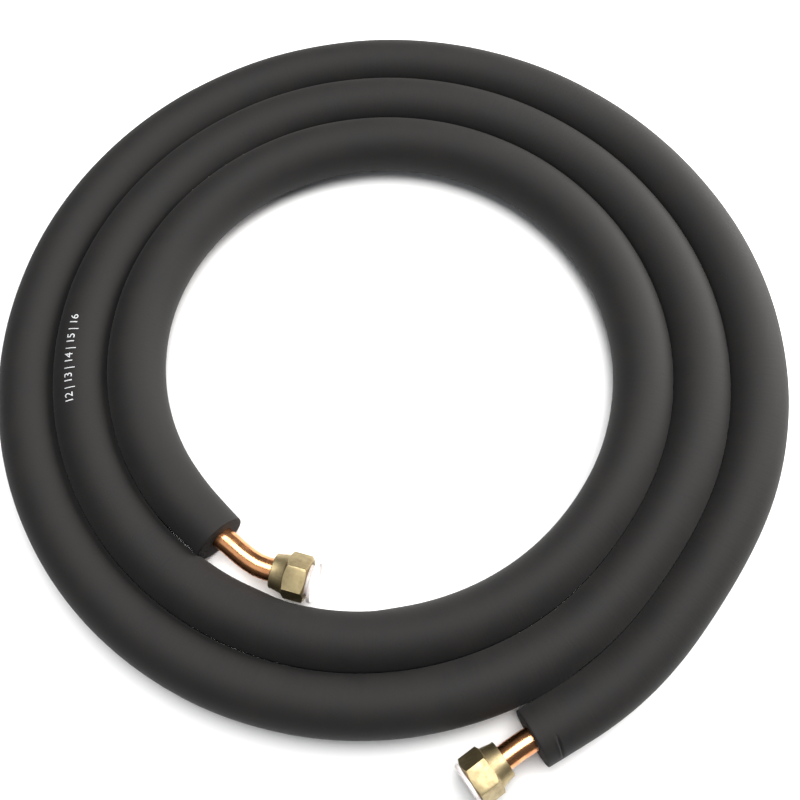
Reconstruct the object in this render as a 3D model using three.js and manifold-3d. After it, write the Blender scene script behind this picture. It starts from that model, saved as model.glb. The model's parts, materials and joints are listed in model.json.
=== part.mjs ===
// One insulated soft-copper refrigerant line, delivered as a flat coil with a flare nut and a dust plug on each end.
// Millimetres, +Z up. The coil lies on the plane z = 0 and its spiral turns about the Z axis.

import * as THREE from "three";
import { mergeVertices } from "three/addons/utils/BufferGeometryUtils.js";
import Module from "manifold-3d";

// Coil: the run of the line's axis, seen from above. It winds outwards clockwise.
const FIRST_TURN_RADIUS = 134.4;      // axis of the line at the sleeve's inner end
const TURNS = 2.82;                   // turned length of the sleeve
const INNER_END_BEARING = -131;       // degrees from +X to the sleeve's inner end
const OUTER_STRAIGHT = 25;            // sleeve that leaves the last turn without a bend
const STATIONS_PER_TURN = 36;

// Foam sleeve
const SLEEVE_RADIUS = 16.5;
const SIDE_SQUEEZE = 1.1;             // how far a side is pressed in by the turn beside it
const TURN_GAP = 0.4;                 // between the pressed sides of two turns
const REST_FLAT = 7;                  // width of the foot that the foam's weight presses flat

// Copper pipe, half inch outside diameter
const PIPE_RADIUS = 6.35;
const PIPE_WALL = 0.8;
const SLEEVE_FIT = 0.35;              // radial air between the pipe and the sleeve's bore
const FLARE_REACH = 1.95;             // how far the 45 degree flare opens past the pipe
const FLARE_ROOT = 1;                 // how deep the flare is rooted in the pipe's wall
const FLARE_ROOT_INSET = { bore: 0.1, outside: 0.3 };     // of that root inside the wall

// Bare pipe between the sleeve and each nut
const INNER_BARE = 34;
const OUTER_BARE = 17;
const OUTER_BEND = 6;                 // degrees, away from the coil
const NUT_APPROACH = 4;               // straight pipe behind a nut
const BENDS_PER_STUB = 4;

// Flare nut: local +Z runs from its collar to its open mouth
const NUT_ACROSS_FLATS = 22.2;
const NUT_SIDES = 6;
const NUT_LENGTH = 20;
const NUT_BORE_FIT = 0.3;             // radial air round the pipe
const NUT_COLLAR_WALL = 2.8;
const NUT_COLLAR_LENGTH = 1.5;
const NUT_HEX_START = 7.5;            // end of the cone between the collar and the hexagon
const NUT_CHAMFER = 1.5;
const NUT_FACE_INSET = 0.4;           // of the chamfer's edge inside the flats
const FLARE_CLEARANCE = 0.45;         // radial, from the flare's rim to the thread
const FLARE_SEAT_START = 6.5;         // where the bore opens at 45 degrees for the flare
const FLARE_SEAT_GAP = 0.3;

// The inner nut lies alongside the next turn, free to be turned
const INNER_NUT_CLEARANCE = 1;        // from the nut's corners to the side of that turn
const INNER_NUT_PARALLEL = 13;        // place along the nut where it runs parallel to that turn
const NUT_TURN = { inner: 15, outer: 0 };     // degrees that a flat is turned from facing up

// Dust plug
const PLUG_FLANGE = 3;                // how far the disc stands out past the stem
const PLUG_DISC_THICKNESS = 2;
const PLUG_STEM = 8;
const PLUG_FIT = 0.3;                 // radial air round the stem
const PLUG_STAND_OFF = { inner: 1.8, outer: 0.3 };     // from the nut's face to the disc
const PLUG_RECESS_DEPTH = 0.7;
const PLUG_RIM_WIDTH = 1.4;
const PLUG_EDGE = 0.5;

const ROUND_SEGMENTS = 36;
const CUTTER_MARGIN = 0.5;            // how far a cutter stands past what it cuts

const wasm = await Module();
wasm.setup();

const radians = THREE.MathUtils.degToRad;
const UP = new THREE.Vector3(0, 0, 1);

// Meshes in and out of the boolean library

function toSolid(geometry) {
  const bare = geometry.clone();
  bare.deleteAttribute("normal");
  bare.deleteAttribute("uv");
  const merged = mergeVertices(bare, 1e-4);
  return new wasm.Manifold(new wasm.Mesh({
    numProp: 3,
    vertProperties: new Float32Array(merged.attributes.position.array),
    triVerts: new Uint32Array(merged.index.array),
  }));
}

function toGeometry(solid) {
  const mesh = solid.getMesh();
  const geometry = new THREE.BufferGeometry();
  geometry.setAttribute("position", new THREE.BufferAttribute(new Float32Array(mesh.vertProperties), 3));
  geometry.setIndex(new THREE.BufferAttribute(new Uint32Array(mesh.triVerts), 1));
  return geometry;
}

// The axis of the line

// A path through given stations. Facets of neighbouring turns lie side by side because the
// stations are spaced by angle and not by length.
class StationPath extends THREE.Curve {
  constructor(stations) {
    super();
    this.stations = stations;
  }

  getPoint(t, target = new THREE.Vector3()) {
    const place = t * (this.stations.length - 1);
    const index = Math.min(Math.floor(place), this.stations.length - 2);
    return target.copy(this.stations[index]).lerp(this.stations[index + 1], place - index);
  }

  getUtoTmapping(u) {
    return u;
  }
}

const sleeveSide = SLEEVE_RADIUS - SIDE_SQUEEZE;
const turnPitch = 2 * sleeveSide + TURN_GAP;
const axisHeight = Math.sqrt(SLEEVE_RADIUS ** 2 - (REST_FLAT / 2) ** 2);

function spiralPoint(turn, inset = 0) {
  const bearing = radians(INNER_END_BEARING - 360 * turn);
  const radius = FIRST_TURN_RADIUS + turnPitch * turn - inset;
  return new THREE.Vector3(radius * Math.cos(bearing), radius * Math.sin(bearing), axisHeight);
}

function spiralDirection(turn) {
  const step = 1e-4;
  return spiralPoint(turn + step).sub(spiralPoint(turn - step)).normalize();
}

function along(start, direction, distance) {
  return start.clone().addScaledVector(direction, distance);
}

function spiralStations() {
  const count = Math.ceil(TURNS * STATIONS_PER_TURN);
  const stations = Array.from({ length: count }, (_, index) => spiralPoint(index / STATIONS_PER_TURN));
  return [...stations, spiralPoint(TURNS)];
}

// Bare pipe from the sleeve's end: one easy bend, then straight into the nut.
function bareBend(start, startHeading, { nutBack, heading }) {
  const end = along(nutBack, heading, -NUT_APPROACH);
  const reach = start.distanceTo(end) / 3;
  const bend = new THREE.CubicBezierCurve3(
    start,
    along(start, startHeading, reach),
    along(end, heading, -reach),
    end,
  );
  return bend.getPoints(BENDS_PER_STUB).slice(1);
}

const nutCorner = NUT_ACROSS_FLATS / 2 / Math.cos(Math.PI / NUT_SIDES);

function innerNutPlace() {
  const past = (INNER_BARE + INNER_NUT_PARALLEL) / FIRST_TURN_RADIUS;
  const turn = 1 - past / (2 * Math.PI);
  const heading = spiralDirection(turn).negate();
  const beside = spiralPoint(turn, sleeveSide + INNER_NUT_CLEARANCE + nutCorner);
  return { nutBack: along(beside, heading, -INNER_NUT_PARALLEL), heading };
}

function outerNutPlace(start, startHeading) {
  const chord = startHeading.clone().applyAxisAngle(UP, radians(OUTER_BEND / 2));
  const heading = startHeading.clone().applyAxisAngle(UP, radians(OUTER_BEND));
  return { nutBack: along(start, chord, OUTER_BARE), heading };
}

const sleeveInnerEnd = spiralPoint(0);
const outerHeading = spiralDirection(TURNS);
const sleeveOuterEnd = along(spiralPoint(TURNS), outerHeading, OUTER_STRAIGHT);
const nutPlaces = { inner: innerNutPlace(), outer: outerNutPlace(sleeveOuterEnd, outerHeading) };

// Sections. X of a section points down and Y points to the left of the run.

function circle(path, radius) {
  const arcs = 3;
  for (let arc = 0; arc < arcs; arc += 1) {
    path.absarc(0, 0, radius, radians((360 / arcs) * arc), radians((360 / arcs) * (arc + 1)), false);
  }
  return path;
}

// Round, but pressed flat where it meets the turn beside it and where it stands.
function sleeveSection() {
  const side = Math.asin(sleeveSide / SLEEVE_RADIUS);
  const foot = Math.asin(REST_FLAT / 2 / SLEEVE_RADIUS);
  const section = new THREE.Shape();
  section.absarc(0, 0, SLEEVE_RADIUS, foot, side, false);
  section.absarc(0, 0, SLEEVE_RADIUS, Math.PI - side, Math.PI, false);
  section.absarc(0, 0, SLEEVE_RADIUS, Math.PI, Math.PI + side, false);
  section.absarc(0, 0, SLEEVE_RADIUS, -side, -foot, false);
  section.holes.push(circle(new THREE.Path(), PIPE_RADIUS + SLEEVE_FIT));
  return section;
}

function pipeSection() {
  const section = circle(new THREE.Shape(), PIPE_RADIUS);
  section.holes.push(circle(new THREE.Path(), PIPE_RADIUS - PIPE_WALL));
  return section;
}

function sweep(section, stations) {
  const extrudePath = new StationPath(stations);
  return new THREE.ExtrudeGeometry(section, { steps: stations.length - 1, curveSegments: 2, extrudePath });
}

// Turned shapes: a profile of [radius, height] pairs about local Z

function turned(profile) {
  const points = profile.map(([radius, height]) => new THREE.Vector2(radius, height));
  return new THREE.LatheGeometry(points, ROUND_SEGMENTS).rotateX(Math.PI / 2);
}

function turnedRing(profile) {
  return turned([...profile, profile[0]]);
}

// An end of the line: a group whose local +Z points away from the coil. Local +Y is up before the nut's turn.
function endGroup({ nutBack, heading }, nutTurn) {
  const group = new THREE.Group();
  const sideways = new THREE.Vector3().crossVectors(UP, heading);
  group.setRotationFromMatrix(new THREE.Matrix4().makeBasis(sideways, UP, heading));
  group.rotateZ(radians(nutTurn));
  group.position.copy(nutBack);
  group.updateMatrixWorld();
  return group;
}

const ends = {
  inner: endGroup(nutPlaces.inner, NUT_TURN.inner),
  outer: endGroup(nutPlaces.outer, NUT_TURN.outer),
};

// Pieces

function insulationSleeve() {
  return sweep(sleeveSection(), [...spiralStations(), sleeveOuterEnd]);
}

// Height at which the flare's outer cone leaves the straight pipe, inside the nut
const flareStart = FLARE_SEAT_START + FLARE_SEAT_GAP * Math.SQRT2 - NUT_BORE_FIT;
const flareRadius = PIPE_RADIUS + FLARE_REACH;
const threadRadius = flareRadius + FLARE_CLEARANCE;
const pipeEnd = flareStart - FLARE_ROOT / 2;

function flareRing() {
  const bore = PIPE_RADIUS - PIPE_WALL;
  const lip = PIPE_WALL * Math.SQRT1_2;
  const rootBore = bore + FLARE_ROOT_INSET.bore;
  const rootRadius = PIPE_RADIUS - FLARE_ROOT_INSET.outside;
  const rootEnd = (pipeEnd + flareStart) / 2;
  return turnedRing([
    [rootBore, flareStart - FLARE_ROOT],
    [rootRadius, flareStart - FLARE_ROOT],
    [rootRadius, rootEnd],
    [PIPE_RADIUS, flareStart],
    [flareRadius, flareStart + FLARE_REACH],
    [flareRadius - lip, flareStart + FLARE_REACH + lip],
    [bore, flareStart + PIPE_WALL * (Math.SQRT2 - 1)],
    [rootBore, rootEnd],
  ]);
}

function copperPipe() {
  const { inner, outer } = nutPlaces;
  const stations = [
    along(inner.nutBack, inner.heading, pipeEnd),
    ...bareBend(sleeveInnerEnd, spiralDirection(0).negate(), inner).toReversed(),
    ...spiralStations(),
    sleeveOuterEnd,
    ...bareBend(sleeveOuterEnd, outerHeading, outer),
    along(outer.nutBack, outer.heading, pipeEnd),
  ];
  let pipe = toSolid(sweep(pipeSection(), stations));
  for (const end of Object.values(ends)) {
    pipe = pipe.add(toSolid(flareRing().applyMatrix4(end.matrixWorld)));
  }
  return toGeometry(pipe);
}

function flareNut() {
  const bore = PIPE_RADIUS + NUT_BORE_FIT;
  const collar = bore + NUT_COLLAR_WALL;
  const clearOfCorner = nutCorner + CUTTER_MARGIN;
  const faceRadius = NUT_ACROSS_FLATS / 2 - NUT_FACE_INSET;
  const body = turnedRing([
    [bore, 0],
    [collar, 0],
    [collar, NUT_COLLAR_LENGTH],
    [faceRadius, NUT_HEX_START],
    [clearOfCorner, NUT_HEX_START + NUT_CHAMFER],
    [clearOfCorner, NUT_LENGTH - NUT_CHAMFER],
    [faceRadius, NUT_LENGTH],
    [threadRadius, NUT_LENGTH],
    [threadRadius, FLARE_SEAT_START + threadRadius - bore],
    [bore, FLARE_SEAT_START],
  ]);
  const corners = Array.from({ length: NUT_SIDES }, (_, side) => {
    const angle = (2 * Math.PI * side) / NUT_SIDES;
    return new THREE.Vector2(nutCorner * Math.cos(angle), nutCorner * Math.sin(angle));
  });
  const depth = NUT_LENGTH + 2 * CUTTER_MARGIN;
  const prism = new THREE.ExtrudeGeometry(new THREE.Shape(corners), { depth, bevelEnabled: false });
  return toGeometry(toSolid(body).intersect(toSolid(prism.translate(0, 0, -CUTTER_MARGIN))));
}

function dustPlug(standOff) {
  const stem = threadRadius - PLUG_FIT;
  const disc = stem + PLUG_FLANGE;
  const discBack = NUT_LENGTH + standOff;
  const discFront = discBack + PLUG_DISC_THICKNESS;
  const tip = discBack - PLUG_STEM;
  const recess = discFront - PLUG_RECESS_DEPTH;
  return turned([
    [0, tip],
    [stem - PLUG_EDGE, tip],
    [stem, tip + PLUG_EDGE],
    [stem, discBack],
    [disc, discBack],
    [disc, discFront - PLUG_EDGE],
    [disc - PLUG_EDGE, discFront],
    [disc - PLUG_RIM_WIDTH, discFront],
    [disc - PLUG_RIM_WIDTH, recess],
    [0, recess],
  ]);
}

// Finishes

function finish(color, roughness, metalness) {
  return new THREE.MeshStandardMaterial({ color, roughness, metalness });
}

const foam = finish(0x2c2a29, 0.9, 0);
const copper = finish(0xc9713c, 0.28, 1);
const brass = finish(0xa9946a, 0.42, 1);
const plastic = finish(0xdccfca, 0.5, 0);

function piece(name, geometry, material) {
  const mesh = new THREE.Mesh(geometry, material);
  mesh.name = name;
  return mesh;
}

const line = new THREE.Group();
line.add(piece("insulation_sleeve", insulationSleeve(), foam));
line.add(piece("copper_pipe", copperPipe(), copper));
for (const [place, end] of Object.entries(ends)) {
  end.add(piece(`${place}_flare_nut`, flareNut(), brass));
  end.add(piece(`${place}_dust_plug`, dustPlug(PLUG_STAND_OFF[place]), plastic));
  line.add(end);
}

// The origin is under the middle of the coil, on the floor.
const middle = new THREE.Box3().setFromObject(line, true).getCenter(new THREE.Vector3());
line.position.set(-middle.x, -middle.y, 0);

export default line;
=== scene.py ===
# %% [markdown]
# # A coil of insulated copper pipe
#
# This lesson dresses a flat coil of refrigerant pipe: one soft copper pipe in a black foam sleeve,
# wound almost three times round, with a brass flare nut and a plastic dust plug on each end.
# The model's solids are the frame. They say where everything is, and Blender makes how it looks.
# Everything is in metres, +Z is up, and the coil lies on the floor at z = 0.

# %% Load the frame
import json
import math
from collections import Counter

import bmesh
import bpy
import numpy as np
from mathutils import Matrix, Vector, noise


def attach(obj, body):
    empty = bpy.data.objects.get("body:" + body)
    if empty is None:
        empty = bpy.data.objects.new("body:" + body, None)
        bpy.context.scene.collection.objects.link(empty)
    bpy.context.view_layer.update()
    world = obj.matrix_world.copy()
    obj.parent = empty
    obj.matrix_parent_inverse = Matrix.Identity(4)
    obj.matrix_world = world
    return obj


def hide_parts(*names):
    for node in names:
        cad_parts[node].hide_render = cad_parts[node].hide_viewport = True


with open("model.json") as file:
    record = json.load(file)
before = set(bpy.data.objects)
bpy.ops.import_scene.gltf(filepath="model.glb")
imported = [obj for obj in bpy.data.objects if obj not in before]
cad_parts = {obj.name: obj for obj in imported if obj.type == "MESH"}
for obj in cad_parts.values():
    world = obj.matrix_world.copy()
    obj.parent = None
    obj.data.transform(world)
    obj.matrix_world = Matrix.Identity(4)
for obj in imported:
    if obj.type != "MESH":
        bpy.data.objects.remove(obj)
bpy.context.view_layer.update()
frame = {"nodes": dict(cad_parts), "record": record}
bpy.ops.object.select_all(action="DESELECT")
print("nodes:", sorted(frame["nodes"]))

# %% [markdown]
# ## The run of the pipe
#
# Seen from above, the pipe's axis is a spiral: it starts at the eye and winds outwards clockwise, and
# every turn lies one pitch outside the last. The same few sizes that made the solids give it again here.
# The two nuts say where the ends go, because each nut's joint lies on the pipe's axis.

# %% Sizes of the coil
FIRST_TURN_RADIUS = 0.1344
TURN_PITCH = 0.0312
TURNS = 2.82
INNER_END_BEARING = math.radians(-131)
OUTER_STRAIGHT = 0.025
SPIRAL_CENTRE = Vector((-0.0078, 0.009415, 0))
AXIS_HEIGHT = 0.016125
UP = Vector((0, 0, 1))


def spiral_point(turn):
    """The axis after so many turns from the sleeve's inner end."""
    bearing = INNER_END_BEARING - 2 * math.pi * turn
    radius = FIRST_TURN_RADIUS + TURN_PITCH * turn
    return SPIRAL_CENTRE + Vector((radius * math.cos(bearing), radius * math.sin(bearing), AXIS_HEIGHT))


def spiral_heading(turn):
    """The way outwards along the run."""
    step = 1e-4
    return (spiral_point(turn + step) - spiral_point(turn - step)).normalized()


def nut_place(joint_name):
    """(point at the nut's back, direction from there to its mouth), from the nut's joint."""
    joint = next(j for j in frame["record"]["behaviour"]["joints"] if j["name"] == joint_name)
    return Vector(joint["pos_m"]), Vector(joint["axis"]).normalized()


inner_nut_back, inner_heading = nut_place("inner_nut_spin")
outer_nut_back, outer_heading = nut_place("outer_nut_spin")
print("inner nut", inner_nut_back, "outer nut", outer_nut_back)

# %% [markdown]
# The coil is drawn as a curve, because a straight tube can then be modelled with plain tools and bent
# along it in one go. An easy bend leads from each end of the sleeve to its nut. A cubic curve does that:
# it leaves the sleeve in the sleeve's direction and arrives in the nut's.

# %% Draw the runs
STEP = 0.004
NUT_APPROACH = 0.004
FLARE_DEPTH = 0.00914
SLEEVE_END_STRAIGHT = 0.020


def easy_bend(start, start_heading, end, end_heading):
    """Points from start to end, without the first, on a cubic curve."""
    reach = (end - start).length / 3
    one = start + start_heading * reach
    two = end - end_heading * reach
    count = max(4, round((end - start).length / STEP))
    points = []
    for index in range(1, count + 1):
        t = index / count
        left = 1 - t
        points.append(left**3 * start + 3 * left**2 * t * one + 3 * left * t**2 * two + t**3 * end)
    return points


def length_along(points):
    """Length of the run up to each point."""
    steps = [0.0] + [(b - a).length for a, b in zip(points, points[1:])]
    return np.cumsum(steps)


def run_curve(name, points):
    """A curve object through the points, flat in the coil's plane."""
    data = bpy.data.curves.new(name, "CURVE")
    data.dimensions = "3D"
    data.twist_mode = "Z_UP"
    spline = data.splines.new("POLY")
    spline.points.add(len(points) - 1)
    for spot, point in zip(spline.points, points):
        spot.co = (*point, 1)
    curve = bpy.data.objects.new(name, data)
    bpy.context.scene.collection.objects.link(curve)
    return curve


turn_count = round(TURNS * 2 * math.pi * (FIRST_TURN_RADIUS + TURN_PITCH * TURNS / 2) / STEP)
turns = [TURNS * index / turn_count for index in range(turn_count + 1)]
spiral = [spiral_point(turn) for turn in turns]
last_heading = spiral_heading(TURNS)
sleeve_out = spiral[-1] + last_heading * OUTER_STRAIGHT
straight_out = [spiral[-1].lerp(sleeve_out, share) for share in (0.25, 0.5, 0.75, 1)]
print("spiral points:", len(spiral), "length", round(float(length_along(spiral)[-1]), 4))

# %% [markdown]
# The sleeve's inner end doesn't follow the circle to its very end. The last two centimetres run straight
# on, so that end leans against the next turn, and the pipe bends away from it to its nut.

# %% The sleeve's run and the pipe's run
release = SLEEVE_END_STRAIGHT / (2 * math.pi * FIRST_TURN_RADIUS)
first = next(index for index, turn in enumerate(turns) if turn > release)
sleeve_in = spiral[first] - spiral_heading(turns[first]) * length_along(spiral)[first]
straight_in = [sleeve_in.lerp(spiral[first], share) for share in (0, 0.25, 0.5, 0.75)]
sleeve_run = straight_in + spiral[first:] + straight_out
sleeve_length = float(length_along(sleeve_run)[-1])

pipe_in = spiral[0]
inner_arrival = inner_nut_back - inner_heading * NUT_APPROACH
outer_arrival = outer_nut_back - outer_heading * NUT_APPROACH
inner_bend = easy_bend(pipe_in, -spiral_heading(0), inner_arrival, inner_heading)
outer_bend = easy_bend(sleeve_out, last_heading, outer_arrival, outer_heading)
inner_tip = [inner_nut_back, inner_nut_back + inner_heading * FLARE_DEPTH]
outer_tip = [outer_nut_back, outer_nut_back + outer_heading * FLARE_DEPTH]
pipe_run = (inner_bend + inner_tip)[::-1] + spiral + straight_out + outer_bend + outer_tip
pipe_length = float(length_along(pipe_run)[-1])
sleeve_curve = run_curve("sleeve_run", sleeve_run)
pipe_curve = run_curve("pipe_run", pipe_run)
print("sleeve length", round(sleeve_length, 4), "pipe length", round(pipe_length, 4))

# %% [markdown]
# ## Camera, floor and light
#
# The camera looks steeply down on the coil from the front, a little turned about its own axis, and it is
# close, so the near turns look wider than the far ones. The floor is plain and pale. A large soft light
# stands behind the coil on the right, so the shadows fall into the eye and to the left.

# %% Camera
FRAME_PIXELS = 800
FOCAL_PIXELS = 870
SENSOR = 36
CAMERA_TARGET = Vector((0.0057, -0.0141, 0))
CAMERA_DISTANCE = 0.5146
CAMERA_ELEVATION = math.radians(69.49)
CAMERA_ROLL = math.radians(-4.08)

back = Vector((0, -math.cos(CAMERA_ELEVATION), math.sin(CAMERA_ELEVATION)))
level = Vector((1, 0, 0))
above = back.cross(level)
right = level * math.cos(CAMERA_ROLL) + above * math.sin(CAMERA_ROLL)
top = above * math.cos(CAMERA_ROLL) - level * math.sin(CAMERA_ROLL)
bpy.ops.object.camera_add()
camera = bpy.context.object
camera.name = "camera"
camera.data.sensor_width = SENSOR
camera.data.lens = SENSOR * FOCAL_PIXELS / FRAME_PIXELS
camera.data.clip_start = 0.01
turned = Matrix((right, top, back)).transposed().to_4x4()
camera.matrix_world = Matrix.Translation(CAMERA_TARGET + back * CAMERA_DISTANCE) @ turned
bpy.context.scene.camera = camera
print("camera at", camera.matrix_world.translation, "lens", camera.data.lens)

# %% Floor, lights and sky
FLOOR_SIZE = 12


def area_light(name, place, size, power, colour):
    """A square soft light that shines at the coil."""
    bpy.ops.object.light_add(type="AREA", location=place)
    light = bpy.context.object
    light.name = name
    light.data.shape = "SQUARE"
    light.data.size = size
    light.data.energy = power
    light.data.color = colour
    light.rotation_euler = (-Vector(place)).to_track_quat("-Z", "Y").to_euler()
    return light


bpy.ops.mesh.primitive_plane_add(size=FLOOR_SIZE)
floor = bpy.context.object
floor.name = "floor"
area_light("top_light", (0.1, 0.15, 1.3), 0.9, 26, (1, 0.99, 0.975))
area_light("side_light", (1.15, 0.62, 0.5), 0.8, 34, (1, 0.97, 0.94))
area_light("fill_light", (-0.7, -0.6, 1.0), 0.8, 1.5, (0.95, 0.98, 1))
world = bpy.data.worlds.new("studio")
world.use_nodes = True
world.node_tree.nodes["Background"].inputs["Color"].default_value = (0.93, 0.96, 1, 1)
world.node_tree.nodes["Background"].inputs["Strength"].default_value = 0.12
bpy.context.scene.world = world
bpy.context.scene.view_settings.view_transform = "Standard"

# %% [markdown]
# ## Helpers for modelling
#
# Each piece starts as a primitive and is shaped in edit mode. Edit mode works on what is selected, so
# there is one helper that selects vertices, edges or faces by a test on their place, and one that
# extrudes a ring of edges to a new size and place, which is how all the round pieces grow.

# %% Select and extrude
SAME = 1e-6


def middle_of(item):
    """The middle of an edge or a face, or a vertex's own place."""
    if isinstance(item, bmesh.types.BMVert):
        return item.co
    return sum((vertex.co for vertex in item.verts), Vector()) / len(item.verts)


def choose(kind, test):
    """In edit mode, select the vertices, edges or faces that pass the test, and say how many."""
    bpy.ops.mesh.select_mode(type=kind)
    bpy.ops.mesh.select_all(action="DESELECT")
    data = bpy.context.object.data
    shape = bmesh.from_edit_mesh(data)
    items = {"VERT": shape.verts, "EDGE": shape.edges, "FACE": shape.faces}[kind]
    chosen = [item for item in items if test(middle_of(item), item)]
    for item in chosen:
        item.select_set(True)
    shape.select_flush_mode()
    bmesh.update_edit_mesh(data)
    return len(chosen)


def grow_ring(centre, shift, scale):
    """Extrude the selected ring of edges, move it by shift and scale it about its centre."""
    bpy.ops.mesh.extrude_edges_move(TRANSFORM_OT_translate={"value": shift})
    bpy.ops.transform.resize(value=scale, center_override=centre)


def settle(piece):
    """Put the object's place into its mesh, so that the object sits at the origin, unturned."""
    bpy.ops.object.select_all(action="DESELECT")
    piece.select_set(True)
    bpy.context.view_layer.objects.active = piece
    bpy.ops.object.transform_apply(location=True, rotation=True, scale=True)


def apply_modifiers(piece):
    """Make every modifier's result the piece's own mesh."""
    bpy.ops.object.select_all(action="DESELECT")
    piece.select_set(True)
    bpy.context.view_layer.objects.active = piece
    for modifier in list(piece.modifiers):
        bpy.ops.object.modifier_apply(modifier=modifier.name)


def report(piece):
    """Print what a piece measures."""
    low = [min(vertex.co[axis] for vertex in piece.data.vertices) for axis in range(3)]
    high = [max(vertex.co[axis] for vertex in piece.data.vertices) for axis in range(3)]
    faces = sum(len(face.vertices) - 2 for face in piece.data.polygons)
    uses = Counter(edge for face in piece.data.polygons for edge in face.edge_keys)
    odd = sum(1 for count in uses.values() if count != 2)
    print(piece.name, "triangles", faces, "odd edges", odd)
    print("  from", np.round(low, 4), "to", np.round(high, 4))


# %% [markdown]
# ## A straight tube along X
#
# Both the pipe and its sleeve start as an open cylinder that lies along X, cut into many short rings.
# Selecting only the long edges and subdividing them cuts new rings and nothing else.

# %% Make a straight tube


def runs_along(middle, edge):
    """True for an edge that lies along X."""
    return abs(edge.verts[0].co.x - edge.verts[1].co.x) > SAME


def straight_tube(name, radius, start, end, sides, cuts):
    """An open cylinder along X, left in edit mode, with its long edges cut again and again."""
    bpy.ops.mesh.primitive_cylinder_add(
        vertices=sides,
        radius=radius,
        depth=end - start,
        end_fill_type="NOTHING",
        rotation=(0, math.pi / 2, 0),
        location=((start + end) / 2, 0, 0),
    )
    tube = bpy.context.object
    tube.name = name
    settle(tube)
    bpy.ops.object.mode_set(mode="EDIT")
    for count in cuts:
        choose("EDGE", runs_along)
        bpy.ops.mesh.subdivide(number_cuts=count)
    return tube


def at_ring(place, radius):
    """A test for the edges of the ring at that place along X."""

    def test(middle, edge):
        on_ring = all(abs(vertex.co.x - place) < SAME for vertex in edge.verts)
        return on_ring and all(abs(math.hypot(*vertex.co.yz) - radius) < 1e-5 for vertex in edge.verts)

    return test


def fresh_uv(data):
    """The mesh's only UV map. What the primitive brought along is thrown away."""
    while data.uv_layers:
        data.uv_layers.remove(data.uv_layers[0])
    return data.uv_layers.new(name="UVMap")


def wrap_uv(piece, radius, flat_ends):
    """A UV map in metres: U along the tube and V round it from the bottom. Cut ends take Y and Z."""
    data = piece.data
    layer = fresh_uv(data)
    round_length = 2 * math.pi * radius
    for face in data.polygons:
        spots = [data.vertices[index].co for index in face.vertices]
        if flat_ends and abs(face.normal.x) > 0.9:
            values = [(spot.y, spot.z) for spot in spots]
        else:
            angles = [(math.atan2(spot.z, spot.y) + math.pi / 2) % (2 * math.pi) for spot in spots]
            rounds = [angle * radius for angle in angles]
            if max(rounds) - min(rounds) > round_length / 2:
                rounds = [value + round_length if value < round_length / 2 else value for value in rounds]
            values = [(spot.x, value) for spot, value in zip(spots, rounds)]
        for loop, value in zip(face.loop_indices, values):
            layer.data[loop].uv = value


def bend_along(piece, curve):
    """Bend a straight piece along a run: X goes along the curve, Y to its left and Z stays up."""
    bend = piece.modifiers.new("bend", "CURVE")
    bend.object = curve
    bend.deform_axis = "POS_X"
    apply_modifiers(piece)


# %% [markdown]
# ## The foam sleeve
#
# The sleeve is a tube of soft closed-cell foam. It is round where it is free. Where two turns lie
# together their sides press flat, and the foam's own weight presses a narrow foot under it. Its ends
# are cut square with a knife: each is a flat ring with the pipe's bore in the middle.

# %% The sleeve, straight
SLEEVE_RADIUS = 0.0165
SLEEVE_BORE = 0.0067
SLEEVE_SIDES = 64
RING_CUTS = (79, 7)
END_ZONE = 0.032
END_CUTS = 3
CUT_ROUNDING = 0.0007
CREASE_FROM_CUT = 0.009
CREASE_ZONE = 0.0035
CREASE_CUTS = 4
CUT_RINGS = (0.0135, 0.0105, 0.0085, SLEEVE_BORE)
BORE_CUTS = 320

sleeve = straight_tube("foam_sleeve", SLEEVE_RADIUS, 0, sleeve_length, SLEEVE_SIDES, RING_CUTS)


def near_an_end(middle, edge):
    """True for a long edge close to a cut end."""
    return runs_along(middle, edge) and not END_ZONE < middle.x < sleeve_length - END_ZONE


choose("EDGE", near_an_end)
bpy.ops.mesh.subdivide(number_cuts=END_CUTS)


def near_the_crease(middle, edge):
    """True for a long edge where the crease will be."""
    return runs_along(middle, edge) and abs(sleeve_length - CREASE_FROM_CUT - middle.x) < CREASE_ZONE


choose("EDGE", near_the_crease)
bpy.ops.mesh.subdivide(number_cuts=CREASE_CUTS)
for place in (0, sleeve_length):
    choose("EDGE", at_ring(place, SLEEVE_RADIUS))
    radius = SLEEVE_RADIUS
    for next_radius in CUT_RINGS:
        scale = next_radius / radius
        grow_ring((place, 0, 0), (0, 0, 0), (1, scale, scale))
        radius = next_radius
    choose("EDGE", at_ring(place, SLEEVE_RADIUS))
    bpy.ops.mesh.bevel(offset=CUT_ROUNDING, segments=3, affect="EDGES")


def bore_rim(middle, edge):
    """True for the edges of the two rings where the cut ends meet the bore."""
    return at_ring(0, SLEEVE_BORE)(middle, edge) or at_ring(sleeve_length, SLEEVE_BORE)(middle, edge)


print("bore rim edges:", choose("EDGE", bore_rim))
bpy.ops.mesh.bridge_edge_loops(number_cuts=BORE_CUTS)
bpy.ops.mesh.select_all(action="SELECT")
bpy.ops.mesh.normals_make_consistent(inside=False)
bpy.ops.object.mode_set(mode="OBJECT")
report(sleeve)

# %% [markdown]
# Now the soft shape. For every vertex of the skin there is a radius in its own direction: the round one,
# or less where a neighbour or the floor is in the way. Beside the inner plug there is a shallow hollow, so
# the plug comes out freely. The free ends are narrower than the coil, because nothing stretches the foam
# there. What lies between the bore and the skin moves in proportion.

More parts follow.
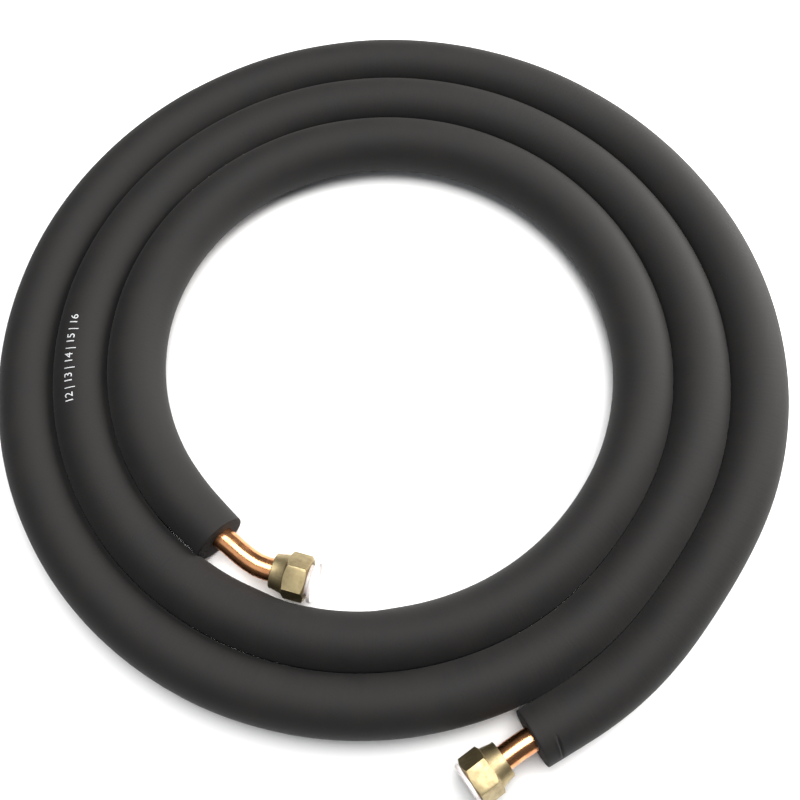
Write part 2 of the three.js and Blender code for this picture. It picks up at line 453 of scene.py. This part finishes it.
# %% Press the sleeve into its shape
END_RADIUS = 0.0152
INNER_TAPER = 0.045
OUTER_TAPER = 0.11
PRESSED_SIDE = 0.01545
LEANING_SIDE = 0.0142
PLUG_SIDE = 0.0150
PLUG_HOLLOW = (0.86, 0.90, 0.94, 0.98)
SOFTNESS = 70
TURN_FADE = 0.012
DENT_SIZE = 0.035
DENT_DEPTH = 0.00012
BORE_SHIFT = 0.0015
UNPRESSED = 1.1 * SLEEVE_RADIUS


def ease(value, start, end):
    """A smooth step from 0 at start to 1 at end."""
    share = np.clip((value - start) / (end - start), 0, 1)
    return share * share * (3 - 2 * share)


def pressed(radius, across, limit):
    """The radius, softly limited so that across times it stays under limit."""
    reach = limit / np.maximum(across, 1e-3)
    return (radius**-SOFTNESS + reach**-SOFTNESS) ** (-1 / SOFTNESS)


places = np.array([vertex.co for vertex in sleeve.data.vertices])
along, across, height = places.T
distance = np.hypot(across, height)
outward = across / distance
upward = height / distance
inner_turns = np.zeros(len(straight_in))
outer_turns = np.full(len(straight_out), TURNS)
turn_table = np.concatenate([inner_turns, turns[first:], outer_turns])


def skin_radius(along, outward, upward):
    """Distance from the axis to the skin, in the direction given by outward and upward."""
    fullness = ease(along, 0, INNER_TAPER) * ease(sleeve_length - along, 0, OUTER_TAPER)
    skin = END_RADIUS + (SLEEVE_RADIUS - END_RADIUS) * fullness
    rim = np.stack([along, SLEEVE_RADIUS * outward, SLEEVE_RADIUS * upward], axis=1)
    skin = skin + DENT_DEPTH * np.array([noise.noise(Vector(place) / DENT_SIZE) for place in rim])
    turn = np.interp(along, length_along(sleeve_run), turn_table)
    beside_inner = ease(turn, 1 - TURN_FADE, 1 + TURN_FADE)
    beside_outer = 1 - ease(turn, TURNS - 1 - TURN_FADE, TURNS - 1 + TURN_FADE)
    outer_limit = UNPRESSED + (PRESSED_SIDE - UNPRESSED) * beside_outer
    inner_limit = UNPRESSED + (PRESSED_SIDE - UNPRESSED) * beside_inner
    beside_plug = ease(turn, *PLUG_HOLLOW[:2]) * (1 - ease(turn, *PLUG_HOLLOW[2:]))
    inner_limit = inner_limit + (PLUG_SIDE - UNPRESSED) * beside_plug
    lean = 1 - ease(along, 0, 2 * SLEEVE_END_STRAIGHT)
    skin = pressed(skin, outward, outer_limit + (LEANING_SIDE - PRESSED_SIDE) * lean)
    skin = pressed(skin, -outward, inner_limit)
    return np.minimum(skin, AXIS_HEIGHT / np.maximum(-upward, 1e-3))


skin = skin_radius(along, outward, upward)
share = (distance - SLEEVE_BORE) / (SLEEVE_RADIUS - SLEEVE_BORE)
new_distance = SLEEVE_BORE + share * (skin - SLEEVE_BORE)
bore_shift = BORE_SHIFT * (1 - ease(along, 0, SLEEVE_END_STRAIGHT)) * (1 - share)
places[:, 1] = outward * new_distance - bore_shift
places[:, 2] = upward * new_distance
print("skin radius from", round(float(skin.min()), 5), "to", round(float(skin.max()), 5))

# %% [markdown]
# Near the outer cut the foam has a small crease, as if a thumb nail had gone in while it was warm. It is a
# shallow groove across the sleeve with one lip pushed up.

# %% A crease near the outer cut
CREASE_HALF_WIDTH = 0.0006
CREASE_DEPTH = 0.0011
CREASE_LIP = 0.00035
CREASE_MIDDLE = math.radians(48)
CREASE_SPREAD = math.radians(22)
CREASE_SLANT = 0.0006

direction = np.arctan2(places[:, 2], places[:, 1])
offset = (direction - CREASE_MIDDLE) / CREASE_SPREAD
crease_line = sleeve_length - CREASE_FROM_CUT - CREASE_SLANT * offset
beyond = (places[:, 0] - crease_line) / CREASE_HALF_WIDTH
window = np.where(share > 0.99, np.exp(-(offset**4)), 0)
groove = -CREASE_DEPTH * np.exp(-(beyond**2)) + CREASE_LIP * np.exp(-((beyond - 2.2) ** 2))
new_distance = new_distance + window * groove
places[:, 1] = outward * new_distance - bore_shift
places[:, 2] = upward * new_distance
wrap_uv(sleeve, SLEEVE_RADIUS, flat_ends=True)
sleeve.data.vertices.foreach_set("co", places.ravel())
sleeve.data.update()
report(sleeve)

# %% Bend the sleeve
CUT_NORMAL = 0.9

bpy.ops.object.mode_set(mode="EDIT")


def is_cut_face(middle, face):
    """True for the faces of the flat cut ends."""
    return abs(face.normal.x) > CUT_NORMAL


sleeve.data.materials.append(bpy.data.materials.new("foam_skin"))
sleeve.data.materials.append(bpy.data.materials.new("foam_cut"))
print("cut faces:", choose("FACE", is_cut_face))
sleeve.active_material_index = 1
bpy.ops.object.material_slot_assign()
bpy.ops.object.mode_set(mode="OBJECT")
bend_along(sleeve, sleeve_curve)
bpy.ops.object.shade_smooth_by_angle(angle=math.radians(40))
report(sleeve)

# %% [markdown]
# ## The copper pipe
#
# The pipe is drawn copper, half an inch across, with a thin wall. Each end is flared at 45 degrees inside
# its nut. It is grown from the ring at each end of a straight tube: out to the flare's rim, over its lip
# and back in to the bore. Then the two bore rings are bridged.

# %% The pipe, straight
PIPE_RADIUS = 0.00635
PIPE_WALL = 0.0008
PIPE_BORE = PIPE_RADIUS - PIPE_WALL
PIPE_SIDES = 40
FLARE_REACH = 0.00195
FLARE_RADIUS = PIPE_RADIUS + FLARE_REACH
FLARE_LIP = PIPE_WALL * math.sqrt(0.5)
FLARE_LENGTH = FLARE_REACH + FLARE_LIP

flare_end = pipe_length - FLARE_LENGTH
pipe = straight_tube("drawn_pipe", PIPE_RADIUS, FLARE_LENGTH, flare_end, PIPE_SIDES, RING_CUTS)
for place, way in ((FLARE_LENGTH, -1), (flare_end, 1)):
    choose("EDGE", at_ring(place, PIPE_RADIUS))
    radius = PIPE_RADIUS
    for next_radius, step in (
        (FLARE_RADIUS, FLARE_REACH),
        (FLARE_RADIUS - FLARE_LIP, FLARE_LIP),
        (PIPE_BORE, -FLARE_REACH - PIPE_WALL * (1 - math.sqrt(0.5))),
    ):
        place = place + way * step
        scale = next_radius / radius
        grow_ring((place, 0, 0), (way * step, 0, 0), (1, scale, scale))
        radius = next_radius


def pipe_mouth(middle, edge):
    """True for the two open rings that are left at the bore."""
    return edge.is_boundary


print("open rings have", choose("EDGE", pipe_mouth), "edges")
bpy.ops.mesh.bridge_edge_loops(number_cuts=BORE_CUTS)
bpy.ops.mesh.select_all(action="SELECT")
bpy.ops.mesh.normals_make_consistent(inside=False)
bpy.ops.object.mode_set(mode="OBJECT")
wrap_uv(pipe, PIPE_RADIUS, flat_ends=False)
bend_along(pipe, pipe_curve)
bpy.ops.object.shade_smooth_by_angle(angle=math.radians(35))
report(pipe)

# %% [markdown]
# ## Turned pieces
#
# The nut's body and the plug are turned shapes. A circle is the first ring, and each next ring is extruded
# from the one before, moved along Z and scaled. The profile is written as pairs of radius and height.

# %% Make a turned shape


def turned_piece(name, profile, sides, closed):
    """Grow rings through the profile. A closed one joins its ends, and an open one is capped."""
    (radius, height), *others = profile
    bpy.ops.mesh.primitive_circle_add(
        vertices=sides,
        radius=radius,
        fill_type="NOTHING",
        location=(0, 0, height),
    )
    piece = bpy.context.object
    piece.name = name
    settle(piece)
    bpy.ops.object.mode_set(mode="EDIT")
    bpy.ops.mesh.select_mode(type="EDGE")
    bpy.ops.mesh.select_all(action="SELECT")
    for next_radius, next_height in others:
        scale = next_radius / radius
        grow_ring((0, 0, next_height), (0, 0, next_height - height), (scale, scale, 1))
        radius, height = next_radius, next_height
    choose("EDGE", lambda middle, edge: edge.is_boundary)
    if closed:
        bpy.ops.mesh.bridge_edge_loops()
    else:
        bpy.ops.mesh.edge_face_add()
    bpy.ops.mesh.select_all(action="SELECT")
    bpy.ops.mesh.normals_make_consistent(inside=False)
    bpy.ops.object.mode_set(mode="OBJECT")
    return piece


# %% [markdown]
# ## The flare nut
#
# A flare nut is turned from hexagon bar: a round collar and a cone at the back, six flats, and a chamfer at
# both ends of them that leaves a curved edge on every flat. Cutting the turned body with a six-sided
# prism gives just those curves. Inside are the seat for the flare and the thread.

# %% The nut's body
NUT_ACROSS_FLATS = 0.0222
NUT_CORNER = NUT_ACROSS_FLATS / math.sqrt(3)
NUT_LENGTH = 0.020
NUT_BORE = PIPE_RADIUS + 0.0003
NUT_COLLAR_RADIUS = NUT_BORE + 0.0028
NUT_COLLAR_LENGTH = 0.0015
NUT_HEX_START = 0.0075
NUT_CHAMFER = 0.0015
NUT_FACE_RADIUS = NUT_ACROSS_FLATS / 2 - 0.0004
THREAD_MINOR = FLARE_RADIUS + 0.00045
THREAD_PITCH = 0.0015875
THREAD_DEPTH = 0.0007
THREAD_TURNS = 6
SEAT_START = 0.0065
NUT_SIDES = 96
CUTTER_MARGIN = 0.0005

clear_of_corner = NUT_CORNER + CUTTER_MARGIN
seat_end = SEAT_START + THREAD_MINOR - NUT_BORE
thread_mouth = NUT_LENGTH - THREAD_DEPTH
thread = []
for turn in range(THREAD_TURNS):
    thread.append((THREAD_MINOR, thread_mouth - THREAD_PITCH * turn))
    thread.append((THREAD_MINOR + THREAD_DEPTH, thread_mouth - THREAD_PITCH * (turn + 0.5)))
nut_profile = [
    (NUT_BORE + 0.0003, 0),
    (NUT_COLLAR_RADIUS - 0.0003, 0),
    (NUT_COLLAR_RADIUS, 0.0003),
    (NUT_COLLAR_RADIUS, NUT_COLLAR_LENGTH),
    (NUT_FACE_RADIUS, NUT_HEX_START),
    (clear_of_corner, NUT_HEX_START + NUT_CHAMFER),
    (clear_of_corner, NUT_LENGTH - NUT_CHAMFER),
    (NUT_FACE_RADIUS, NUT_LENGTH),
    (THREAD_MINOR + THREAD_DEPTH, NUT_LENGTH),
    *thread,
    (THREAD_MINOR, seat_end),
    (NUT_BORE, SEAT_START),
    (NUT_BORE, 0.0003),
]
nut = turned_piece("inner_nut_body", nut_profile, NUT_SIDES, closed=True)
report(nut)

# %% Cut the flats
bpy.ops.mesh.primitive_cylinder_add(
    vertices=6,
    radius=NUT_CORNER,
    depth=NUT_LENGTH + 2 * CUTTER_MARGIN,
    location=(0, 0, NUT_LENGTH / 2),
    rotation=(0, 0, math.pi / 6),
)
prism = bpy.context.object
settle(prism)
cut = nut.modifiers.new("flats", "BOOLEAN")
cut.operation = "INTERSECT"
cut.solver = "EXACT"
cut.object = prism
apply_modifiers(nut)
bpy.data.objects.remove(prism)
edges = nut.modifiers.new("edges", "BEVEL")
edges.width = 0.00018
edges.segments = 2
edges.limit_method = "ANGLE"
edges.angle_limit = math.radians(24)
apply_modifiers(nut)
bpy.ops.object.mode_set(mode="EDIT")
bpy.ops.mesh.select_all(action="SELECT")
bpy.ops.mesh.remove_doubles(threshold=2e-6)
bpy.ops.mesh.normals_make_consistent(inside=False)
bpy.ops.object.mode_set(mode="OBJECT")
report(nut)

# %% [markdown]
# The bar was drawn, so the flats carry fine lines along the nut. The turned parts carry lines round it.
# The flats get a material slot of their own for that, and the UV map unrolls the nut round its axis.

# %% The nut's surfaces
nut.data.materials.append(bpy.data.materials.new("brass_turned"))
nut.data.materials.append(bpy.data.materials.new("brass_flat"))
bpy.ops.object.mode_set(mode="EDIT")


def is_flat(middle, face):
    """True for the six flats."""
    facing = abs(face.normal.z) < 0.02
    reach = Vector((face.normal.x, face.normal.y, 0)).dot(middle)
    return facing and abs(reach - NUT_ACROSS_FLATS / 2) < 2e-5


print("flats:", choose("FACE", is_flat))
nut.active_material_index = 1
bpy.ops.object.material_slot_assign()
bpy.ops.object.mode_set(mode="OBJECT")


def unroll_uv(piece, radius):
    """A UV map in metres for a piece about Z: U round it and V along it, or outwards on flat faces."""
    layer = fresh_uv(piece.data)
    round_length = 2 * math.pi * radius
    for face in piece.data.polygons:
        spots = [piece.data.vertices[index].co for index in face.vertices]
        rounds = [(math.atan2(spot.y, spot.x) % (2 * math.pi)) * radius for spot in spots]
        if max(rounds) - min(rounds) > round_length / 2:
            rounds = [value + round_length if value < round_length / 2 else value for value in rounds]
        level_face = abs(face.normal.z) > 0.9
        ups = [math.hypot(spot.x, spot.y) if level_face else spot.z for spot in spots]
        for loop, value in zip(face.loop_indices, zip(rounds, ups)):
            layer.data[loop].uv = value


unroll_uv(nut, NUT_ACROSS_FLATS / 2)

# %% [markdown]
# ## The dust plug
#
# The plug is a soft milky moulding: a disc with a raised rim that covers the nut's mouth, and a stem with
# three thin ribs that grip the thread.

# %% The plug's body
PLUG_STEM = 0.008
PLUG_STEM_RADIUS = THREAD_MINOR - 0.0003
PLUG_DISC_RADIUS = PLUG_STEM_RADIUS + 0.003
PLUG_DISC = 0.002
PLUG_RECESS = 0.0007
PLUG_RIM = 0.0014
PLUG_EDGE = 0.0005
RIB_HEIGHT = 0.00018
RIB_HALF = 0.0003
RIB_PLACES = (-0.0062, -0.0042, -0.0022)

ribs = []
for rib in RIB_PLACES:
    ribs.append((PLUG_STEM_RADIUS - RIB_HEIGHT, rib - RIB_HALF))
    ribs.append((PLUG_STEM_RADIUS, rib))
    ribs.append((PLUG_STEM_RADIUS - RIB_HEIGHT, rib + RIB_HALF))
plug_profile = [
    (0.0012, -PLUG_STEM),
    (PLUG_STEM_RADIUS - PLUG_EDGE, -PLUG_STEM),
    (PLUG_STEM_RADIUS - RIB_HEIGHT, PLUG_EDGE - PLUG_STEM),
    *ribs,
    (PLUG_STEM_RADIUS - RIB_HEIGHT, 0),
    (PLUG_DISC_RADIUS - 0.0004, 0),
    (PLUG_DISC_RADIUS, 0.0004),
    (PLUG_DISC_RADIUS, PLUG_DISC - PLUG_EDGE),
    (PLUG_DISC_RADIUS - PLUG_EDGE, PLUG_DISC),
    (PLUG_DISC_RADIUS - PLUG_RIM, PLUG_DISC),
    (PLUG_DISC_RADIUS - PLUG_RIM - 0.0003, PLUG_DISC - PLUG_RECESS),
    (0.0012, PLUG_DISC - PLUG_RECESS),
]
plug = turned_piece("inner_plug_body", plug_profile, NUT_SIDES, closed=False)
soften = plug.modifiers.new("edges", "BEVEL")
soften.width = 0.00015
soften.segments = 3
soften.limit_method = "ANGLE"
soften.angle_limit = math.radians(25)
apply_modifiers(plug)
unroll_uv(plug, PLUG_DISC_RADIUS)
plug.data.materials.append(bpy.data.materials.new("milky_plastic"))
report(plug)

# %% [markdown]
# ## Put nuts and plugs on both ends
#
# Nut and plug were made once, upright at the origin. Each end gets a copy with its own mesh, which is
# turned so that its Z points out of the coil, moved to the end of the pipe and settled there.

# %% Place the ends
NUT_TURNED = {"inner": math.radians(15), "outer": 0.0}
PLUG_STAND_OFF = {"inner": 0.0018, "outer": 0.0003}
END_PLACES = {"inner": (inner_nut_back, inner_heading), "outer": (outer_nut_back, outer_heading)}


def end_matrix(end, distance):
    """The place on that end's axis, so far from the nut's back, turned as the nut is."""
    spot, heading = END_PLACES[end]
    turned_axes = Matrix((UP.cross(heading), UP, heading)).transposed().to_4x4()
    spin = Matrix.Rotation(NUT_TURNED[end], 4, "Z")
    return Matrix.Translation(spot + heading * distance) @ turned_axes @ spin


def copy_of(piece, name):
    """A copy with its own mesh."""
    bpy.ops.object.select_all(action="DESELECT")
    piece.select_set(True)
    bpy.context.view_layer.objects.active = piece
    bpy.ops.object.duplicate(linked=False)
    copy = bpy.context.object
    copy.name = name
    return copy


nuts = {"inner": nut, "outer": copy_of(nut, "outer_nut_body")}
plugs = {"inner": plug, "outer": copy_of(plug, "outer_plug_body")}
for end in END_PLACES:
    nuts[end].matrix_world = end_matrix(end, 0)
    settle(nuts[end])
    bpy.ops.object.shade_smooth_by_angle(angle=math.radians(24))
    plugs[end].matrix_world = end_matrix(end, NUT_LENGTH + PLUG_STAND_OFF[end])
    settle(plugs[end])
    bpy.ops.object.shade_smooth_by_angle(angle=math.radians(24))
    report(nuts[end])

# %% [markdown]
# ## The printed marks
#
# Such foam carries a line of white print. Here it is a plain row of numbers. The row is a text that is made
# a mesh, cut finely, laid on the straight skin and bent with it.

# %% Print the numbers
PRINTS = (("middle", 1.14, 82), ("inner", 0.289, 20))
PRINT_NUMBERS = range(12, 17)
PRINT_SIZE = 0.0066
PRINT_HALF_THICKNESS = 0.00003
PRINT_LIFT = 0.00006
PRINT_CUTS = 3


def printed_numbers(name, turn, direction):
    """Thin white numbers on the skin, centred on that turn and in that direction from level outwards."""
    bpy.ops.object.text_add()
    numbers = bpy.context.object
    numbers.name = f"{name}_print"
    numbers.data.body = " | ".join(str(number) for number in PRINT_NUMBERS)
    numbers.data.size = PRINT_SIZE
    numbers.data.align_x = "CENTER"
    numbers.data.align_y = "CENTER"
    numbers.data.extrude = PRINT_HALF_THICKNESS
    numbers.data.resolution_u = 4
    bpy.ops.object.convert(target="MESH")
    numbers = bpy.context.object
    bpy.ops.object.mode_set(mode="EDIT")
    bpy.ops.mesh.select_all(action="SELECT")
    bpy.ops.mesh.remove_doubles(threshold=1e-6)
    bpy.ops.mesh.subdivide(number_cuts=PRINT_CUTS)
    bpy.ops.object.mode_set(mode="OBJECT")
    spots = np.array([vertex.co for vertex in numbers.data.vertices])
    middle = np.interp(turn, turn_table, length_along(sleeve_run))
    angle = math.radians(direction) - spots[:, 1] / SLEEVE_RADIUS
    length = middle + spots[:, 0]
    radius = skin_radius(length, np.cos(angle), np.sin(angle)) + PRINT_LIFT + spots[:, 2]
    spots = np.stack([length, radius * np.cos(angle), radius * np.sin(angle)], axis=1)
    numbers.data.vertices.foreach_set("co", spots.ravel())
    numbers.data.update()
    bend_along(numbers, sleeve_curve)
    report(numbers)
    return numbers


prints = [printed_numbers(name, turn, direction) for name, turn, direction in PRINTS]

# %% [markdown]
# ## The coil as it lies
#
# A real coil isn't a perfect spiral. On its right this one springs open a little, and before its outer end
# it runs straighter. The same gentle push is given to all that lies there, and it grows with the distance
# from the eye, so no turn is pushed into the next.

# %% Ease the coil out of round
EASE_RADII = (0.130, 0.240)
EASES = ((math.radians(2), math.radians(26), 0.0028), (math.radians(-42), math.radians(15), -0.0044))


def ease_out_of_round(piece):
    """Push a piece's vertices outwards or inwards, by their bearing from the spiral's centre."""
    spots = np.array([vertex.co for vertex in piece.data.vertices])
    offset = spots[:, :2] - np.array(SPIRAL_CENTRE[:2])
    radius = np.hypot(*offset.T)
    bearing = np.arctan2(offset[:, 1], offset[:, 0])
    strength = np.clip((radius - EASE_RADII[0]) / (EASE_RADII[1] - EASE_RADII[0]), 0, 1.1)
    push = sum(reach * np.exp(-(((bearing - middle) / spread) ** 2)) for middle, spread, reach in EASES)
    spots[:, :2] += offset * (push * strength / radius)[:, None]
    piece.data.vertices.foreach_set("co", spots.ravel())
    piece.data.update()


for piece in (sleeve, pipe, *prints):
    ease_out_of_round(piece)
print("eased", [piece.name for piece in (sleeve, pipe, *prints)])

# %% [markdown]
# ## Finishes
#
# Shader maths is easier to read as sums than as wires. A small class wraps a node's socket, and each
# sign adds the Math node that it stands for. One method adds every other kind of node.

# %% A class for shader sums


class Signal:
    """A node's output. Sums and products of signals and numbers add Math nodes."""

    def __init__(self, tree, socket):
        self.tree = tree
        self.socket = socket

    def maths(self, operation, first, second):
        node = self.tree.nodes.new("ShaderNodeMath")
        node.operation = operation
        for entry, value in zip(node.inputs, (first, second)):
            feed(self.tree, entry, value)
        return Signal(self.tree, node.outputs[0])

    def __add__(self, other):
        return self.maths("ADD", self, other)

    def __radd__(self, other):
        return self.maths("ADD", other, self)

    def __sub__(self, other):
        return self.maths("SUBTRACT", self, other)

    def __rsub__(self, other):
        return self.maths("SUBTRACT", other, self)

    def __mul__(self, other):
        return self.maths("MULTIPLY", self, other)

    def __rmul__(self, other):
        return self.maths("MULTIPLY", other, self)

    def __pow__(self, other):
        return self.maths("POWER", self, other)


def feed(tree, entry, value):
    """Link a signal to a socket, or set a plain value on it."""
    if isinstance(value, Signal):
        tree.links.new(value.socket, entry)
    else:
        entry.default_value = value


class Finish:
    """A material under construction."""

    def __init__(self, name):
        self.material = bpy.data.materials.get(name) or bpy.data.materials.new(name)
        self.material.use_nodes = True
        self.tree = self.material.node_tree
        self.shader = self.tree.nodes["Principled BSDF"]

    def node(self, kind, settings, values, output=0):
        """Add a node. Its settings come first, then the values or links of its sockets."""
        made = self.tree.nodes.new(kind)
        for key, value in settings.items():
            if key == "stops":
                self.set_stops(made.color_ramp, value)
            else:
                setattr(made, key, value)
        for key, value in values.items():
            feed(self.tree, made.inputs[key], value)
        return Signal(self.tree, made.outputs[output])

    def set_stops(self, ramp, stops):
        """Give a colour ramp its stops: pairs of place and grey."""
        while len(ramp.elements) < len(stops):
            ramp.elements.new(0.5)
        for element, (place, grey) in zip(ramp.elements, stops):
            element.position = place
            element.color = (grey, grey, grey, 1)

    def uv(self, stretch):
        """The piece's UV map in metres, times a stretch each way."""
        spots = self.node("ShaderNodeUVMap", {"uv_map": "UVMap"}, {})
        return self.node("ShaderNodeMapping", {}, {"Vector": spots, "Scale": (*stretch, 1)})

    def place(self, scale):
        """The piece's object coordinates, times a scale."""
        spots = self.node("ShaderNodeTexCoord", {}, {}, "Object")
        return self.node("ShaderNodeMapping", {}, {"Vector": spots, "Scale": (scale, scale, scale)})

    def grain(self, vector, scale, detail=3.0, roughness=0.5):
        """Noise from 0 to 1."""
        values = {"Vector": vector, "Scale": scale, "Detail": detail, "Roughness": roughness}
        return self.node("ShaderNodeTexNoise", {}, values)

    def ramp(self, value, *stops):
        """A value put through stops of place and grey."""
        return self.node("ShaderNodeValToRGB", {"stops": stops}, {"Fac": value})

    def mix(self, share, first, second):
        """A colour between two."""
        made = self.tree.nodes.new("ShaderNodeMix")
        made.data_type = "RGBA"
        for entry, value in zip((made.inputs[0], made.inputs[6], made.inputs[7]), (share, first, second)):
            feed(self.tree, entry, value)
        return Signal(self.tree, made.outputs[2])

    def bump(self, height, distance, strength, under=None):
        """A Bump node for a height from 0 to 1 that stands for so many metres."""
        values = {"Height": height, "Distance": distance, "Strength": strength}
        if under is not None:
            values["Normal"] = under
        return self.node("ShaderNodeBump", {}, values)

    def set(self, **values):
        """Give the shader its values. Underlines stand for the spaces in the sockets' names."""
        for key, value in values.items():
            feed(self.tree, self.shader.inputs[key.replace("_", " ")], value)


# %% [markdown]
# ### Foam
#
# The skin of the foam is matt and almost black. Close up it has a fine grain, faint ripples across the
# sleeve, small pinholes where a cell has opened, painted darker as shade, and it is a little browner where
# it was rubbed.

# %% Foam skin and cut foam
FOAM_DARK = (0.0075, 0.0073, 0.0075, 1)
FOAM_BROWN = (0.0125, 0.0112, 0.0105, 1)
FOAM_DUST = (0.06, 0.057, 0.055, 1)


def foam_skin():
    """The moulded skin of the sleeve."""
    foam = Finish("foam_skin")
    cloudy = foam.grain(foam.uv((1, 1)), 45, 3, 0.6)
    grain = foam.grain(foam.uv((1, 1)), 1900, 4, 0.6)
    ripples = foam.grain(foam.uv((520, 60)), 1.0, 2, 0.5)
    pattern = {"Vector": foam.uv((1, 1)), "Scale": 330.0, "Randomness": 1.0}
    pores = foam.node("ShaderNodeTexVoronoi", {}, pattern)
    sparse = foam.ramp(foam.grain(foam.uv((1, 1)), 260, 2), (0.56, 0), (0.64, 1))
    pinhole_shade_and_dent = foam.ramp(pores, (0.05, 1), (0.16, 0)) * sparse
    dust = foam.ramp(foam.grain(foam.uv((1, 1)), 2600, 1), (0.74, 0), (0.80, 1))
    brown = foam.ramp(cloudy, (0.35, 0), (0.75, 1)) * 0.8 + grain * 0.25
    colour = foam.mix(brown, FOAM_DARK, FOAM_BROWN)
    colour = foam.mix(dust * 0.35, colour, FOAM_DUST)
    # Painted shade: the pinholes are painted near black, as shade in the holes. The same mask dents the
    # bump.
    colour = foam.mix(pinhole_shade_and_dent * 0.8, colour, (0.008, 0.008, 0.008, 1))
    rough = 0.60 + 0.16 * grain + 0.10 * cloudy
    relief = grain * 0.5 + ripples * 0.9 - pinhole_shade_and_dent * 0.9
    foam.set(Base_Color=colour, Roughness=rough, Normal=foam.bump(relief, 0.00012, 0.8))
    foam.set(Specular_IOR_Level=0.3, Sheen_Weight=0.03, Sheen_Roughness=0.5)


def foam_cut():
    """The open cells of a knife cut, painted darker than the skin as shade, and darkest in the cell
    hollows.
    """
    foam = Finish("foam_cut")
    pattern = {"Vector": foam.uv((1, 1)), "Scale": 1500.0, "Randomness": 1.0}
    cells = foam.node("ShaderNodeTexVoronoi", {}, pattern)
    streaks = foam.grain(foam.uv((300, 2200)), 1.0, 3, 0.6)
    # Painted shade: the cut face is darker than the skin, and darkest in the hollows of the cells.
    hollow_shade_ramp = foam.ramp(cells, (0.1, 0), (0.7, 1))
    colour = foam.mix(hollow_shade_ramp, (0.004, 0.004, 0.004, 1), (0.011, 0.0105, 0.010, 1))
    relief = cells * 0.8 + streaks * 0.4
    foam.set(Base_Color=colour, Roughness=0.85, Normal=foam.bump(relief, 0.00025, 0.9))
    foam.set(Specular_IOR_Level=0.3)


foam_skin()
foam_cut()
print("foam finishes made")

# %% [markdown]
# ### Copper and brass
#
# Drawn copper is bright, with hair lines along the pipe and a few duller, redder clouds. The brass of the
# nuts is older and more olive: lines along the flats, lines round the turned parts, scratches across
# both, and cleaner metal where something rubbed.

# %% Copper and brass


def copper():
    """Bright drawn copper."""
    metal = Finish("drawn_copper")
    lines = metal.grain(metal.uv((25, 2600)), 1.0, 4, 0.6)
    clouds = metal.grain(metal.uv((1, 1)), 130, 4, 0.6)
    tarnish = metal.ramp(clouds, (0.42, 0), (0.72, 1))
    colour = metal.mix(tarnish * 0.6, (0.90, 0.42, 0.19, 1), (0.52, 0.19, 0.08, 1))
    rough = 0.15 + 0.10 * lines + 0.14 * tarnish
    metal.set(Base_Color=colour, Metallic=1.0, Roughness=rough, Normal=metal.bump(lines, 0.00002, 0.5))
    return metal.material


def brass(name, stretch):
    """Dull machined brass with fine lines one way."""
    metal = Finish(name)
    lines = metal.grain(metal.uv(stretch), 1.0, 3, 0.6)
    scratches = metal.grain(metal.uv((stretch[1] * 0.35, stretch[0] * 1.2)), 1.0, 2, 0.6)
    clouds = metal.grain(metal.place(1), 260, 4, 0.65)
    stain = metal.ramp(clouds, (0.38, 0), (0.70, 1))
    thin = metal.ramp(scratches, (0.66, 0), (0.72, 1))
    colour = metal.mix(stain * 0.7, (0.44, 0.36, 0.20, 1), (0.26, 0.20, 0.11, 1))
    colour = metal.mix(thin * 0.5, colour, (0.66, 0.56, 0.34, 1))
    rough = 0.34 + 0.14 * lines + 0.12 * stain
    relief = lines * 0.6 - thin * 0.5
    metal.set(Base_Color=colour, Metallic=1.0, Roughness=rough, Normal=metal.bump(relief, 0.00004, 0.6))


pipe.data.materials.append(copper())
brass("brass_turned", (60, 5200))
brass("brass_flat", (4200, 90))
print("metals made")

# %% [markdown]
# ### Plastic, print and floor
#
# The plug is polythene: milky, slightly pink, and light goes a little way into it.

# %% Plastic, ink and floor


def milky_plastic():
    """Soft translucent polythene."""
    plastic = Finish("milky_plastic")
    clouds = plastic.grain(plastic.place(1), 180, 3, 0.5)
    colour = plastic.mix(clouds, (0.80, 0.73, 0.72, 1), (0.88, 0.83, 0.82, 1))
    fine = plastic.grain(plastic.place(1), 1800, 2, 0.5)
    plastic.set(Base_Color=colour, Roughness=0.34 + 0.12 * clouds, Normal=plastic.bump(fine, 0.00003, 0.4))
    plastic.set(Subsurface_Weight=0.35, Subsurface_Radius=(0.004, 0.003, 0.003), Subsurface_Scale=1.0)
    plastic.set(Transmission_Weight=0.12)


def pale_floor():
    """Plain white studio floor."""
    paper = Finish("pale_floor")
    clouds = paper.grain(paper.place(1), 3, 2, 0.5)
    paper.set(Base_Color=paper.mix(clouds, (0.93, 0.935, 0.94, 1), (0.95, 0.955, 0.96, 1)), Roughness=0.7)
    paper.set(Specular_IOR_Level=0.2)
    return paper.material


def white_ink():
    """Printed ink, a little worn."""
    ink = Finish("white_ink")
    wear = ink.grain(ink.place(1), 900, 3, 0.6)
    colour = ink.mix(wear, (0.75, 0.76, 0.78, 1), (0.35, 0.36, 0.38, 1))
    ink.set(Base_Color=colour, Roughness=0.6 + 0.1 * wear)
    return ink.material


milky_plastic()
ink_material = white_ink()
for piece in prints:
    piece.data.materials.append(ink_material)
floor.data.materials.append(pale_floor())
print("materials:", sorted(material.name for material in bpy.data.materials))

# %% [markdown]
# ## Fasten everything to the frame
#
# Each new piece rides on the body that it belongs to and stands in for its solid. The two
# runs were only guides, so they go.

# %% Ride and replace
for guide in (sleeve_curve, pipe_curve):
    bpy.data.objects.remove(guide)

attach(sleeve, "line")
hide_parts("insulation_sleeve")
for piece in prints:
    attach(piece, "line")
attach(pipe, "line")
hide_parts("copper_pipe")
for end in END_PLACES:
    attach(nuts[end], f"{end}_nut")
    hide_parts(f"{end}_flare_nut")
    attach(plugs[end], f"{end}_plug")
    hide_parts(f"{end}_dust_plug")
